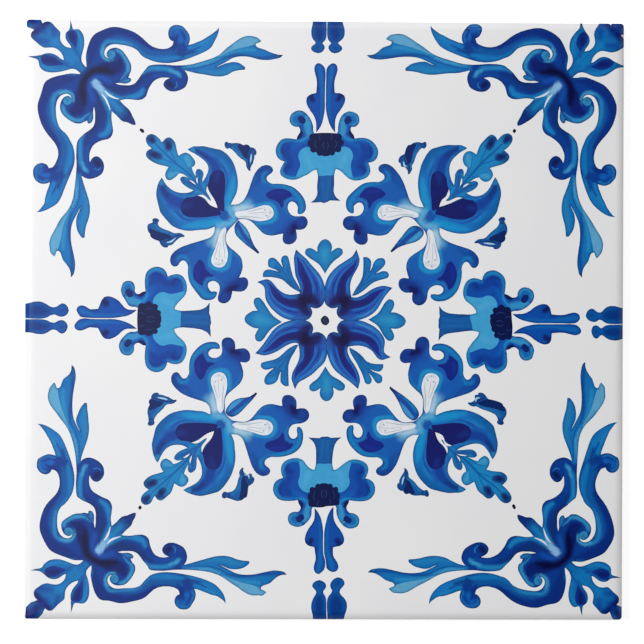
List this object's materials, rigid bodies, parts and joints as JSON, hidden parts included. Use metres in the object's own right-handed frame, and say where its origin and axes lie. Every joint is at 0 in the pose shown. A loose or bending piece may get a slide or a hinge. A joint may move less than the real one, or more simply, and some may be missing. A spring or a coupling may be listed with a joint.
{
  "type": "wall tile",
  "caption": "Square glazed ceramic wall tile with a cushion edge, a keyed back, and a blue scroll, leaf and rosette ornament on white.",
  "frame": {"origin": "centre of the keyed back, in the plane of its rim and ribs", "axes": "+Z out of the glazed face; X and Y along the square's sides, with +Y towards the picture's top"},
  "size_m": [0.152, 0.152, 0.006],
  "materials": {
    "glazed_body": "gloss"
  },
  "bodies": {
    "root": {"tile": "glazed_body"}
  },
  "joints": []
}
